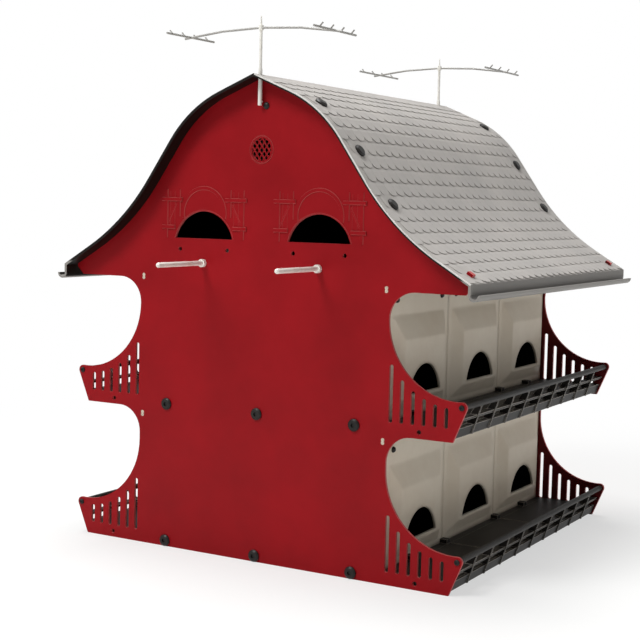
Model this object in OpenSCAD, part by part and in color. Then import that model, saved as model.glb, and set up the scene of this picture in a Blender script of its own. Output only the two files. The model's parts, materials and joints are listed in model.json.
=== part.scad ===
// Purple martin house: twelve rooms on two storeys with open porches, four attic rooms, barn roof.
// Millimetres. X runs across the front, Y from front to rear, Z is up and Z = 0 is the floor.

/* [House] */
// depth over both end walls
house_depth = 450; // [330:1:700]
// thickness of an end wall
wall_t = 3; // [2:0.5:5]
// height from one floor to the next
storey_h = 158; // [150:1:220]
// how far the porch soffit lies below the attic floor
soffit_drop = 8.5; // [2:0.5:14]

/* [Porch brackets] */
// distance of the house edge at floor level inside the fascia
bracket_in = 22.7; // [14:0.1:33]
// distance of the rail bolts inside the fascia
tip_in = 13.7; // [6:0.1:22]
// height of the rail bolts above the bottom of their storey
tip_z = 36.2; // [30:0.1:42]
// radius of a bracket tip
tip_r = 5.6; // [4:0.1:8]
// how far an end wall stands outside the room fronts between the scallops
scallop_gap = 2.5; // [1:0.5:8]
// lowest point of a scallop above the bottom of its storey
scallop_low = 41.5; // [38:0.5:46]
// share of the scallop height taken by its upper corner
corner_share = 0.264; // [0.15:0.001:0.3]
// slots in one bracket
slot_count = 6; // [3:1:7]
// distance of the outermost slot inside the rail bolts
slot_in = 17; // [10:0.5:30]
// distance of the innermost slot outside the scallop edge
slot_out = 4.3; // [2:0.1:10]
// share of the slot spacing that is open
slot_share = 0.364; // [0.2:0.001:0.6]
// material left between slots and scallop
slot_margin = 7.2; // [4:0.1:10]
// distance of the drain hole inside the rail bolts
drain_in = 47; // [20:1:74]
// radius of the drain hole
drain_r = 2.5; // [1:0.1:3]

/* [Roof] */
// height of the eave above the bottom of the attic floor
eave_h = 3.6; // [2:0.1:10]
// slope next to the ridge in degrees
ridge_slope = 22.5; // [15:0.5:30]
// length of the straight next to the ridge
ridge_run = 48.7; // [30:0.1:60]
// radius of the rounded shoulder
crown_r = 143; // [110:1:170]
// slope of the steep part in degrees
steep_slope = 55.3; // [50:0.1:60]
// length of the steep straight
steep_run = 52.9; // [30:0.1:70]
// radius of the hollow sweep to the eave
sweep_r = 267; // [220:1:310]
// slope at the eave in degrees
eave_slope = 31; // [26:0.5:36]
// half width over the fascias
roof_half_w = 257.7; // [254:0.1:275]
// thickness of the roof sheet
roof_t = 3; // [2:0.5:5]
// overhang past each end wall
roof_overhang = 18; // [8:0.5:40]
// radius of the gutter outside
gutter_r = 6.5; // [5:0.1:9]
// thickness of the gutter
gutter_t = 2.5; // [1.5:0.1:3.5]
// drop from the eave corner to the gutter centre
gutter_drop = 10.5; // [6:0.5:16]
// width of the wall flange under the roof
flange_w = 12; // [10:0.5:20]
// clearance between the wall flange and the roof
flange_gap = 0.3; // [0.2:0.1:1]
// thickness of the wall flange
flange_t = 2.5; // [1.5:0.1:4]

/* [Rooms] */
// distance of the room fronts inside the fascia
front_in = 100.7; // [99.7:0.1:108]
// thickness of a room front
front_t = 2.6; // [2:0.1:4]
// how far the bay stands out
bay_raise = 9; // [5:0.5:12]
// distance of the bay from the edges of its room front
bay_margin = 10; // [4:0.5:20]
// width of the sloping sides of the bay
bay_side = 15; // [5:0.5:22]
// foot of the bay above the bottom of its storey
bay_foot = 20; // [16:0.5:28]
// lower edge of the bay face
bay_face_lo = 35; // [29:0.5:37]
// distance of the bay face below the next floor
bay_face_drop = 61; // [50:0.5:80]
// distance of the bay head below the next floor
bay_head_drop = 35; // [18:0.5:48]
// width of an entrance
entrance_w = 76.2; // [60:0.1:80]
// height of an entrance
entrance_h = 30.2; // [22:0.1:34]
// sill of a room entrance above the bottom of its storey
entrance_sill = 38.5; // [38:0.1:44]
// distance of the wall pegs below the next floor
peg_drop = 7; // [4:0.5:18]
// radius of a wall peg
peg_r = 2; // [1:0.1:2.5]
// thickness of the walls between rooms
divider_t = 2.5; // [1.5:0.1:4]

/* [Floors] */
// depth of a floor tray
floor_h = 13.5; // [12.5:0.5:16]
// how far the trays and rails lie above the lower edge of the end walls
tray_lift = 3; // [0:0.5:3.5]
// thickness of the tray plates
tray_t = 3; // [2:0.5:4]
// half width of the pole well
well_x = 28; // [26.5:0.5:40]
// inside radius of the pole socket
socket_r = 21.4; // [15:0.1:22.5]
// depth of the pole socket
socket_depth = 104; // [60:1:130]
// wall of the pole socket
socket_t = 4.2; // [3.8:0.1:4.6]
// width of a deck clip
clip_w = 9; // [4:0.5:12]
// height of a deck clip
clip_h = 5; // [3:0.5:6]
// depth of a deck clip
clip_d = 9; // [2:0.5:12]
// distance of the end clips from the end walls
clip_in = 60; // [20:1:92]

/* [Porch rails] */
// upright ribs in one rail
rib_count = 9; // [5:1:12]
// thickness of a rib
rib_t = 2.5; // [1.5:0.1:4]
// depth of the ribs behind the rail
rib_d = 8; // [5:0.5:12]
// how far the ribs stand out
rib_out = 1.5; // [0.5:0.1:2]
// radius of the top bar
bar_r = 3.2; // [2.5:0.1:4]
// thickness of the apron
apron_t = 2.5; // [1.5:0.1:3]
// height of the slat above the bottom of its storey
slat_z = 21; // [18:0.5:24]
// thickness of the slat
slat_t = 2.6; // [1.5:0.1:4]

/* [Attic] */
// thickness of the attic floor
attic_t = 3.5; // [2:0.5:5]
// distance of the attic floor edge inside the fascia
attic_in = 17.7; // [14:0.1:60]
// distance of an attic entrance from the middle
attic_in_x = 73.9; // [60:0.1:80]
// height of the attic sill above the attic floor
attic_sill = 34.6; // [30:0.1:45]
// distance of the pin holes from the entrance middle
pin_x = 31.6; // [20:0.1:36]
// drop of the pin holes below the sill
pin_drop = 12.2; // [8:0.1:15]
// radius of a pin hole
pin_r = 2.4; // [1:0.1:3]
// height of the vent above the bottom of the attic floor
vent_h = 136.2; // [124:0.1:149]
// radius of the vent
vent_r = 14; // [12:0.1:18]
// size of a vent hole
vent_hole = 1.8; // [1.2:0.1:2]
// spacing of the vent holes
vent_pitch = 3.9; // [3.5:0.1:4]
// height of the wall between the attic rooms above the bottom of their floor
divider_rise = 164; // [134:1:174]

/* [Perches and masts] */
// height of the perches above the attic floor
perch_h = 7.5; // [6:0.1:10]
// radius of a perch
perch_r = 2.75; // [2:0.05:4]
// length of a perch
perch_len = 85; // [60:1:120]
// radius of the perch collar
collar_r = 4.5; // [4.2:0.1:6]
// length of the perch collar
collar_len = 4; // [2:0.5:8]
// radius of a mast
mast_r = 2.2; // [1.9:0.1:3.5]
// radius of a mast above the ridge
mast_top_r = 1.6; // [1.3:0.1:1.9]
// gap between a mast and its wall
mast_gap = 2.4; // [1:0.1:4]
// how far a mast reaches below the ridge
mast_drop = 33; // [27:1:47]
// height of the mast collar above the ridge
mast_rise = 46.5; // [28:0.5:88]
// height of the mast collar itself
mast_collar_h = 5; // [4:0.5:8]
// length of the thin mast tip
mast_tip = 10; // [5:0.5:20]
// half length of the arm
arm_half = 99; // [94:1:120]
// drop of the arm ends
arm_sag = 8; // [4:0.5:12]
// radius of the arm wire
arm_r = 1.2; // [0.8:0.1:1.4]
// distance of the cross bars from the mast
bar_x = 91; // [60:1:92]
// length of the front cross bars
front_bar_len = 88; // [60:1:130]
// length of the rear cross bars
rear_bar_len = 112; // [60:1:130]
// length of the spikes on the cross bars
spike_len = 6; // [3:0.5:9]

/* [Fasteners] */
// radius of a wall bolt head
bolt_r = 6.6; // [5:0.1:6.8]
// height of a wall bolt head
bolt_h = 3; // [2:0.1:5]
// radius of a bolt shank
shank_r = 2.8; // [2:0.1:3.5]
// distance of the outer wall bolts from the middle
bolt_x = 121.5; // [80:0.5:140]
// radius of a rail bolt head
tip_bolt_r = 3; // [2.4:0.1:4]
// radius of a rail bolt shank
tip_shank_r = 1.5; // [1:0.1:2]
// length of a rail bolt in the rail
tip_bolt_in = 8; // [4:0.5:15]
// radius of a roof plug head
plug_r = 7; // [5:0.1:8]
// distance of the roof plugs behind the outer face of an end wall
plug_y = 8.5; // [8.5:0.1:10]
// depth of the flat seat under a roof plug
seat = 0.5; // [0.4:0.1:0.8]
// half width positions of the three roof plugs
plug_x = [68.2, 115.8, 155.8];
// distance of the wall tab through the roof inside the fascia
tab_in = 12.7; // [10:0.1:22]
// width of the wall tab across the roof
tab_w = 7; // [3:0.5:9]
// height of the wall tab above the roof
tab_h = 3; // [1:0.1:4]

/* [Hidden] */
$fn = 72;
eps = 1;
far = 320;
storeys = [0, storey_h];
front_y = -house_depth / 2;
inner_y = house_depth / 2 - wall_t;
room_pitch = 2 * inner_y / 3;
attic_z = 2 * storey_h;
attic_top = attic_z + attic_t;
soffit_z = attic_z - soffit_drop;
vent_z = attic_z + vent_h;
attic_divider_top = attic_z + divider_rise;

// what keeps its distance from the fascia
front_x = roof_half_w - front_in;
bracket_x = roof_half_w - bracket_in;
tip_x = roof_half_w - tip_in;
attic_x = roof_half_w - attic_in;
tab_x = roof_half_w - tab_in;
drain_x = tip_x - drain_in;

// scallops: arc and corner share the height up to the porch soffit
scallop_in = front_x + scallop_gap;
scallop_rise = soffit_z - storey_h - scallop_low;
corner_r = corner_share * scallop_rise;
scallop_r = scallop_rise - corner_r;
scallop_z = scallop_low + scallop_r;
scallop_x = scallop_in + scallop_r;
slot_x = tip_x - slot_in;
slot_pitch = (slot_x - scallop_in - slot_out) / (slot_count - 1);
slot_w = slot_share * slot_pitch;

// rooms
bay_base_w = room_pitch - 2 * bay_margin;
bay_face_w = bay_base_w - 2 * bay_side;
bay_face_hi = storey_h - bay_face_drop;
bay_head = storey_h - bay_head_drop;
peg_z = storey_h - peg_drop;
clip_end = inner_y - clip_in;
tip_top = tip_z + tip_r;
entrance_r = (pow(entrance_w / 2, 2) + pow(entrance_h, 2)) / (2 * entrance_h);
drain_z = floor_h / 2;
bolt_z = max(bolt_r, floor_h / 2);

// outer edge of a bracket: tangent from the bottom corner to the tip circle
tip_far = norm([tip_x - bracket_x, tip_z]);
tip_dir = atan2(tip_z, tip_x - bracket_x) - asin(tip_r / tip_far);
tip_run = sqrt(pow(tip_far, 2) - pow(tip_r, 2));
tip_touch = [bracket_x + tip_run * cos(tip_dir), tip_run * sin(tip_dir)];

// roof profile: straight, shoulder arc, straight, hollow arc, straight; n is the outward normal
function n(a) = [sin(a), cos(a)];
function along(a) = [cos(a), -sin(a)];
// joints and arc centres of the profile, measured from the ridge
d1 = ridge_run * along(ridge_slope);
crown_d = d1 - crown_r * n(ridge_slope);
d2 = crown_d + crown_r * n(steep_slope);
d3 = d2 + steep_run * along(steep_slope);
sweep_d = d3 + sweep_r * n(steep_slope);
d4 = sweep_d - sweep_r * n(eave_slope);
// how far the roof lies below the ridge at a half width x
function drop_at(x) = x < d1[0] ? x * tan(ridge_slope)
  : x < d2[0] ? -crown_d[1] - sqrt(pow(crown_r, 2) - pow(x - crown_d[0], 2))
  : x < d3[0] ? -d2[1] + (x - d2[0]) * tan(steep_slope)
  : x < d4[0] ? -sweep_d[1] + sqrt(pow(sweep_r, 2) - pow(sweep_d[0] - x, 2))
  : -d4[1] + (x - d4[0]) * tan(eave_slope);
// the ridge stands as high above the eave as the profile falls over the half width
eave_z = attic_z + eave_h;
ridge_z = eave_z + drop_at(roof_half_w);
t1 = d1 + [0, ridge_z];
crown_c = crown_d + [0, ridge_z];
t2 = d2 + [0, ridge_z];
t3 = d3 + [0, ridge_z];
sweep_c = sweep_d + [0, ridge_z];
t4 = d4 + [0, ridge_z];
function ridge_at(d, x) = ridge_z - d / cos(ridge_slope) - x * tan(ridge_slope);
function eave_at(d, x) = t4[1] - d / cos(eave_slope) - (x - t4[0]) * tan(eave_slope);
gutter_z = eave_z - gutter_drop;
gutter_x = roof_half_w - roof_t + gutter_r;
roof_low = gutter_z - 2 * gutter_r;
wall_eave_x = roof_half_w - roof_t - 2;
wall_eave_low_x = wall_eave_x - soffit_drop;
// slope and height of the roof at a half width x
function slope_at(x) = x < t1[0] ? ridge_slope
  : x < t2[0] ? asin((x - crown_c[0]) / crown_r)
  : x < t3[0] ? steep_slope
  : x < t4[0] ? asin((sweep_c[0] - x) / sweep_r) : eave_slope;
function roof_at(x) = ridge_z - drop_at(x);

// rail: a line leaning out from the tray foot to the bracket tip
rail_foot = bracket_x - 3;
rail_lean = (tip_x - rail_foot) / tip_z;
apron_x = apron_t / 2 * sqrt(1 + pow(rail_lean, 2));
function rail_at(z) = rail_foot + z * rail_lean;

// masts: the same distance before the front wall and before the rear wall
mast_foot = ridge_z - mast_drop;
mast_top = ridge_z + mast_rise;
front_mast_y = front_y - mast_gap - mast_r;
rear_mast_y = inner_y - mast_gap - mast_r;
arm_z = mast_top + mast_collar_h / 2;
arm_R = (pow(arm_half, 2) + pow(arm_sag, 2)) / (2 * arm_sag);
arm_ang = asin(arm_half / arm_R);
bar_z = arm_z - arm_R + sqrt(pow(arm_R, 2) - pow(bar_x, 2));
plug_in = roof_t + flange_gap + flange_t;
tab_root = roof_t + flange_gap + flange_t / 2;
pin_foot = mast_foot + 2 * mast_r;
attic_in_z = attic_top + attic_sill;
perch_z = attic_top + perch_h;

red = [0.58, 0.09, 0.12];
grey = [0.62, 0.62, 0.6];
white = [0.93, 0.92, 0.87];
black = [0.12, 0.11, 0.1];
ivory = [0.9, 0.87, 0.78];

// a flat shape drawn in X and Z, standing from y to y + t
module slab_y(y, t) translate([0, y + t, 0]) rotate([90, 0, 0]) linear_extrude(t) children();
// a flat shape drawn in Y and Z, standing from x to x + t
module slab_x(x, t) translate([x, 0, 0]) rotate([90, 0, 90]) linear_extrude(t) children();
// a round pin along Y from y to y + t
module pin_y(x, y, z, r, t) translate([x, y, z]) rotate([-90, 0, 0]) cylinder(h = t, r = r);
module both_x() { children(); mirror([1, 0, 0]) children(); }
module both_y() { children(); mirror([0, 1, 0]) children(); }

// crescent entrance, sill on y = 0
module crescent() intersection() {
  translate([0, entrance_h - entrance_r]) circle(entrance_r);
  translate([-entrance_w, 0]) square([2 * entrance_w, 2 * entrance_h]);
}

// area below the roof profile moved in by d, for x from x0 to x1 and above z0
module below_roof(d, x0, x1, z0) {
  if (x1 > t4[0]) roof_area(d, x0, x1, z0);
  else intersection() {
    roof_area(d, x0, t4[0] + eps, z0);
    translate([x0, z0]) square([x1 - x0, ridge_z]);
  }
}

module roof_area(d, x0, x1, z0) difference() {
  union() {
    polygon([[x0, z0], [x1, z0], [x1, eave_at(d, x1)], t4 - d * n(eave_slope), t3 - d * n(steep_slope),
      t2 - d * n(steep_slope), t1 - d * n(ridge_slope), [x0, ridge_at(d, x0)]]);
    intersection() {
      translate(crown_c) circle(crown_r - d);
      translate([max(x0, 0), z0]) square([x1, ridge_z]);
    }
  }
  translate(sweep_c) circle(sweep_r + d);
}

module bracket(z) {
  polygon([[0, z], [bracket_x, z], tip_touch + [0, z], [tip_x, z + tip_top],
    [scallop_x, z + scallop_z], [0, z + scallop_z]]);
  translate([tip_x, z + tip_z]) circle(tip_r);
}

module scallop(z, top) {
  corner_z = top - corner_r;
  intersection() {
    translate([scallop_x, z + scallop_z]) circle(scallop_r);
    translate([scallop_in - eps, z]) square([far, scallop_z]);
  }
  if (corner_z > z + scallop_z + 0.01)
    translate([scallop_in, z + scallop_z]) square([far, corner_z - z - scallop_z]);
  translate([scallop_in + corner_r, corner_z]) circle(corner_r);
  translate([scallop_in + corner_r, z + scallop_z]) square([far, top - z - scallop_z]);
}

module slots(z) for (i = [0 : slot_count - 1]) {
  x = slot_x - i * slot_pitch;
  lo = z + floor_h + slot_w / 2;
  hi = z + scallop_z - slot_w / 2
    - sqrt(pow(scallop_r + slot_margin, 2) - pow(scallop_x - x - slot_w / 2, 2));
  translate([x, lo]) circle(slot_w / 2);
  translate([x, hi]) circle(slot_w / 2);
  translate([x - slot_w / 2, lo]) square([slot_w, hi - lo]);
}

module half_wall() difference() {
  union() {
    square([scallop_in + corner_r, soffit_z + eps]);
    for (z = storeys) bracket(z);
    difference() {
      below_roof(roof_t, 0, wall_eave_x, soffit_z);
      polygon([[wall_eave_low_x, soffit_z - eps], [far, soffit_z - eps], [far, eave_z],
        [wall_eave_x, eave_z], [wall_eave_x, soffit_z + soffit_drop], [wall_eave_low_x, soffit_z]]);
    }
  }
  scallop(0, storey_h);
  scallop(storey_h, soffit_z);
  for (z = storeys) {
    slots(z);
    translate([drain_x, z + drain_z]) circle(drain_r);
    translate([bolt_x, z + bolt_z]) circle(shank_r);
    translate([tip_x, z + tip_z]) circle(tip_shank_r);
    for (k = [-1, 1]) translate([front_x - front_t / 2, z + peg_z + k * peg_r * 0.8]) circle(peg_r);
  }
  translate([attic_in_x, attic_in_z]) crescent();
  for (k = [-1, 1]) translate([attic_in_x + k * pin_x, attic_in_z - pin_drop]) circle(pin_r);
  translate([attic_in_x, perch_z]) circle(perch_r);
}

// one end wall with its roof flange and eave tab, outer face towards the front
module end_wall(mast_z) {
  slab_y(front_y, wall_t) difference() {
    union() { half_wall(); mirror([1, 0]) half_wall(); }
    for (z = storeys) translate([0, z + bolt_z]) circle(shank_r);
    translate([0, vent_z]) circle(vent_r);
    translate([0, mast_z]) circle(mast_r / 2);
  }
  both_x() difference() {
    slab_y(front_y + wall_t - eps, flange_w + eps) difference() {
      below_roof(roof_t + flange_gap, ridge_run / 2, wall_eave_x - wall_t, attic_top);
      below_roof(roof_t + flange_gap + flange_t, 0, far, attic_top - eps);
    }
    for (x = plug_x) plug_hole(x, shank_r);
  }
  both_x() eave_tab(tab_w);
}

// turn to the roof at half width x: local Z is the outward normal, local X runs down the slope
module on_roof(x) translate([x, front_y + plug_y, roof_at(x)]) rotate([0, slope_at(x), 0]) children();
module plug_hole(x, r) on_roof(x) translate([0, 0, -roof_t - flange_gap - flange_t - eps])
  cylinder(h = roof_t + flange_gap + flange_t + 2 * eps, r = r);
module eave_tab(w) on_roof(tab_x) translate([-w / 2, -w / 2, -tab_root])
  cube([w, w, tab_root + tab_h]);

module half_roof() difference() {
  slab_y(front_y - roof_overhang, house_depth + 2 * roof_overhang) {
    difference() {
      below_roof(0, 0, roof_half_w, gutter_z);
      below_roof(roof_t, -eps, roof_half_w - roof_t, gutter_z - eps);
    }
    translate([gutter_x, gutter_z]) difference() {
      circle(gutter_r);
      circle(gutter_r - gutter_t);
      translate([-2 * gutter_r, 0]) square([4 * gutter_r, 2 * gutter_r]);
    }
  }
  both_y() {
    for (x = plug_x) {
      plug_hole(x, shank_r);
      on_roof(x) translate([0, 0, -seat]) cylinder(h = bolt_h, r = plug_r);
    }
    eave_tab(tab_w);
  }
  for (y = [front_mast_y, rear_mast_y])
    translate([0, y, ridge_z - 10 * roof_t]) cylinder(h = 20 * roof_t, r = mast_r);
}

// tray section from half width x0 out to the rail
module tray_side(x0, h) polygon([[x0, tray_lift], [rail_at(tray_lift) - apron_x, tray_lift],
  [rail_at(h) - apron_x, h], [x0, h]]);
module tray_pockets(x0, x1) for (i = [-1 : 1])
  translate([x0, (i - 0.5) * room_pitch + tray_t, -eps])
    cube([x1 - x0, room_pitch - 2 * tray_t, floor_h - tray_t + eps]);
module tray_bolt_holes(x) both_y()
  pin_y(x, -inner_y - eps, bolt_z, shank_r, tray_t + 2 * eps);
module clips() for (y = [-clip_end, -room_pitch / 2, room_pitch / 2, clip_end])
  translate([front_x, y - clip_w / 2, floor_h - eps]) cube([clip_d, clip_w, clip_h + eps]);

module right_tray() difference() {
  union() { slab_y(-inner_y, 2 * inner_y) tray_side(well_x, floor_h); clips(); }
  tray_pockets(well_x + tray_t, rail_foot - 2 * tray_t);
  tray_bolt_holes(bolt_x);
}

module upper_tray() translate([0, 0, storey_h]) difference() {
  union() {
    slab_y(-inner_y, 2 * inner_y) { tray_side(0, floor_h); mirror([1, 0]) tray_side(0, floor_h); }
    both_x() clips();
  }
  both_x() tray_pockets(tray_t / 2, rail_foot - 2 * tray_t);
  for (x = [-bolt_x, 0, bolt_x]) tray_bolt_holes(x);
}

module keel() difference() {
  union() {
    difference() {
      translate([-well_x, -inner_y, 0]) cube([2 * well_x, 2 * inner_y, floor_h]);
      tray_pockets(tray_t - well_x, well_x - tray_t);
    }
    cylinder(h = socket_depth + socket_t, r = socket_r + socket_t);
  }
  translate([0, 0, -eps]) cylinder(h = socket_depth + eps, r = socket_r);
  tray_bolt_holes(0);
}

module right_rail(z) translate([0, 0, z]) difference() {
  union() {
    slab_y(-inner_y, 2 * inner_y) {
      polygon([[rail_at(tray_lift) - apron_x, tray_lift], [rail_at(tray_lift) + apron_x, tray_lift],
        [rail_at(floor_h) + apron_x, floor_h], [rail_at(floor_h) - apron_x, floor_h]]);
      polygon([[rail_at(slat_z) - rib_d, slat_z], [rail_at(slat_z) + apron_x, slat_z],
        [rail_at(slat_z + slat_t) + apron_x, slat_z + slat_t],
        [rail_at(slat_z + slat_t) - rib_d, slat_z + slat_t]]);
      translate([tip_x, tip_z]) circle(bar_r);
    }
    for (i = [1 : rib_count]) slab_y(i * 2 * inner_y / (rib_count + 1) - inner_y - rib_t / 2, rib_t)
      polygon([[rail_at(tray_lift) - apron_x, tray_lift],
        [rail_at(tray_lift) + apron_x + rib_out, tray_lift],
        [rail_at(tip_z) + apron_x + rib_out, tip_z], [rail_at(tip_z) - bar_r, tip_z],
        [rail_at(slat_z) - rib_d, slat_z], [rail_at(floor_h) - rib_d, floor_h],
        [rail_at(floor_h) - apron_x, floor_h]]);
  }
  both_y() pin_y(tip_x, -inner_y - eps, tip_z, tip_shank_r, tip_bolt_in + eps);
}

// raised bay of a room front, a block that narrows outwards on all four sides
module bay() intersection() {
  linear_extrude(storey_h) polygon([
    [front_x - eps, -bay_base_w / 2], [front_x, -bay_base_w / 2], [front_x + bay_raise, -bay_face_w / 2],
    [front_x + bay_raise, bay_face_w / 2], [front_x, bay_base_w / 2], [front_x - eps, bay_base_w / 2]]);
  slab_y(-room_pitch, 2 * room_pitch) polygon([
    [front_x - eps, bay_foot], [front_x, bay_foot], [front_x + bay_raise, bay_face_lo],
    [front_x + bay_raise, bay_face_hi], [front_x, bay_head], [front_x - eps, bay_head]]);
}

// room front k = -1, 0, 1 from front to rear on the storey at z, with pegs into the end walls
module right_front(k, z) translate([0, k * room_pitch, z]) {
  difference() {
    union() {
      translate([front_x - front_t, -room_pitch / 2, floor_h])
        cube([front_t, room_pitch, storey_h - floor_h]);
      bay();
    }
    translate([-front_t, 0, 0]) bay();
    translate([0, 0, entrance_sill]) slab_x(front_x, 2 * bay_raise) crescent();
  }
  if (k != 0) for (j = [-1, 1])
    pin_y(front_x - front_t / 2, k * room_pitch / 2 - (k < 0 ? wall_t : peg_r), peg_z + j * peg_r * 0.8,
      peg_r, wall_t + peg_r);
}

module backs(z) both_x() translate([well_x, -inner_y, z + floor_h])
  cube([divider_t, 2 * inner_y, storey_h - floor_h]);
module dividers(z) both_x() both_y()
  translate([well_x + divider_t, room_pitch / 2 - divider_t / 2, z + floor_h])
    cube([front_x - front_t - well_x - divider_t, divider_t, storey_h - floor_h]);

module half_bulkhead() intersection() {
  below_roof(roof_t, 0, wall_eave_x, attic_top);
  translate([0, attic_top]) square([front_x, ridge_z]);
}

module partition() {
  slab_y(-divider_t / 2, divider_t) { half_bulkhead(); mirror([1, 0]) half_bulkhead(); }
  both_y() translate([-divider_t / 2, -inner_y, attic_top])
    cube([divider_t, inner_y - divider_t / 2, attic_divider_top - attic_top]);
}

module vent() slab_y(front_y, wall_t) translate([0, vent_z]) difference() {
  circle(vent_r);
  for (j = [-3 : 3], i = [0 : 6 - abs(j)])
    translate([(i - (6 - abs(j)) / 2) * vent_pitch, j * vent_pitch * sqrt(3) / 2]) circle(vent_hole, $fn = 6);
}

module perch() {
  pin_y(attic_in_x, front_y - perch_len + perch_r, perch_z, perch_r, perch_len + wall_t - perch_r);
  translate([attic_in_x, front_y - perch_len + perch_r, perch_z]) sphere(perch_r);
  pin_y(attic_in_x, front_y - collar_len, perch_z, collar_r, collar_len);
}

module arm_wire(y) translate([0, y, arm_z - arm_R]) rotate([90, 0, 0]) rotate([0, 0, 90 - arm_ang])
  rotate_extrude(angle = 2 * arm_ang) translate([arm_R, 0]) circle(arm_r);

module mast(y) difference() {
  union() {
    translate([0, y, mast_foot]) cylinder(h = mast_drop + 2 * roof_t, r = mast_r);
    translate([0, y, ridge_z]) cylinder(h = mast_rise, r = mast_top_r);
    translate([0, y, mast_top]) cylinder(h = mast_collar_h, r = mast_r + 0.6);
    translate([0, y, mast_top + mast_collar_h]) cylinder(h = mast_tip, r1 = mast_r / 2, r2 = mast_r / 4);
    pin_y(0, y, pin_foot, mast_r / 2, mast_r + mast_gap + wall_t);
  }
  arm_wire(y);
}

module arm(y, bar_len) {
  arm_wire(y);
  both_x() {
    pin_y(bar_x, y - bar_len / 2, bar_z, arm_r, bar_len);
    for (k = [-3, -1, 1, 3]) translate([bar_x, y + k * bar_len / 8, bar_z])
      rotate([0, 45, 0]) cylinder(h = spike_len, r = arm_r * 0.7);
  }
}

// bolt along Y with its head on the outer face of the front wall
module wall_bolt(x, z, r, h, shank, len) translate([x, front_y, z]) rotate([90, 0, 0]) {
  difference() {
    union() { cylinder(h = h / 2, r = r); translate([0, 0, h / 2]) cylinder(h = h / 2, r1 = r, r2 = r * 0.75); }
    translate([0, 0, h / 2]) cylinder(h = h, r = r * 0.4, $fn = 6);
  }
  translate([0, 0, -len]) cylinder(h = len, r = shank);
}

module front_bolts() for (z = storeys) {
  for (x = [-bolt_x, 0, bolt_x]) wall_bolt(x, z + bolt_z, bolt_r, bolt_h, shank_r, wall_t + tray_t);
  for (x = [-tip_x, tip_x])
    wall_bolt(x, z + tip_z, tip_bolt_r, bolt_h * 0.6, tip_shank_r, wall_t + tip_bolt_in);
}

module right_plugs() both_y() for (x = plug_x) on_roof(x) {
  translate([0, 0, -seat]) cylinder(h = bolt_h / 2 + seat, r = plug_r);
  translate([0, 0, bolt_h / 2]) cylinder(h = bolt_h / 2, r1 = plug_r, r2 = plug_r * 0.7);
  translate([0, 0, -plug_in]) cylinder(h = plug_in, r = shank_r);
}

module front_wall() color(red) end_wall(pin_foot);
module rear_wall() color(red) mirror([0, 1, 0]) end_wall(pin_foot);
module left_roof() color(grey) mirror([1, 0, 0]) half_roof();
module right_roof() color(grey) half_roof();
module left_lower_floor() color(black) mirror([1, 0, 0]) right_tray();
module right_lower_floor() color(black) right_tray();
module upper_floor() color(black) upper_tray();
module pole_keel() color(black) keel();
module attic_floor() color(black) translate([-attic_x, -inner_y, attic_z])
  cube([2 * attic_x, 2 * inner_y, attic_t]);
module left_lower_rail() color(black) mirror([1, 0, 0]) right_rail(0);
module left_upper_rail() color(black) mirror([1, 0, 0]) right_rail(storey_h);
module right_lower_rail() color(black) right_rail(0);
module right_upper_rail() color(black) right_rail(storey_h);
module left_lower_front_1() color(white) mirror([1, 0, 0]) right_front(-1, 0);
module left_lower_front_2() color(white) mirror([1, 0, 0]) right_front(0, 0);
module left_lower_front_3() color(white) mirror([1, 0, 0]) right_front(1, 0);
module left_upper_front_1() color(white) mirror([1, 0, 0]) right_front(-1, storey_h);
module left_upper_front_2() color(white) mirror([1, 0, 0]) right_front(0, storey_h);
module left_upper_front_3() color(white) mirror([1, 0, 0]) right_front(1, storey_h);
module right_lower_front_1() color(white) right_front(-1, 0);
module right_lower_front_2() color(white) right_front(0, 0);
module right_lower_front_3() color(white) right_front(1, 0);
module right_upper_front_1() color(white) right_front(-1, storey_h);
module right_upper_front_2() color(white) right_front(0, storey_h);
module right_upper_front_3() color(white) right_front(1, storey_h);
module lower_room_backs() color(black) backs(0);
module upper_room_backs() color(black) backs(storey_h);
module lower_room_dividers() color(black) dividers(0);
module upper_room_dividers() color(black) dividers(storey_h);
module attic_partition() color(black) partition();
module front_vent() color(red) vent();
module rear_vent() color(red) mirror([0, 1, 0]) vent();
module front_left_perch() color(ivory) mirror([1, 0, 0]) perch();
module front_right_perch() color(ivory) perch();
module rear_left_perch() color(ivory) rotate([0, 0, 180]) perch();
module rear_right_perch() color(ivory) mirror([0, 1, 0]) perch();
module front_mast() color(ivory) mast(front_mast_y);
module rear_mast() color(ivory) mast(rear_mast_y);
module front_arm() color(grey) arm(front_mast_y, front_bar_len);
module rear_arm() color(grey) arm(rear_mast_y, rear_bar_len);
module front_wall_bolts() color(black) front_bolts();
module rear_wall_bolts() color(black) mirror([0, 1, 0]) front_bolts();
module left_roof_plugs() color(black) mirror([1, 0, 0]) right_plugs();
module right_roof_plugs() color(black) right_plugs();

front_wall();
rear_wall();
left_roof();
right_roof();
left_lower_floor();
right_lower_floor();
upper_floor();
pole_keel();
attic_floor();
left_lower_rail();
left_upper_rail();
right_lower_rail();
right_upper_rail();
left_lower_front_1();
left_lower_front_2();
left_lower_front_3();
left_upper_front_1();
left_upper_front_2();
left_upper_front_3();
right_lower_front_1();
right_lower_front_2();
right_lower_front_3();
right_upper_front_1();
right_upper_front_2();
right_upper_front_3();
lower_room_backs();
upper_room_backs();
lower_room_dividers();
upper_room_dividers();
attic_partition();
front_vent();
rear_vent();
front_left_perch();
front_right_perch();
rear_left_perch();
rear_right_perch();
front_mast();
rear_mast();
front_arm();
rear_arm();
front_wall_bolts();
rear_wall_bolts();
left_roof_plugs();
right_roof_plugs();
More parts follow.
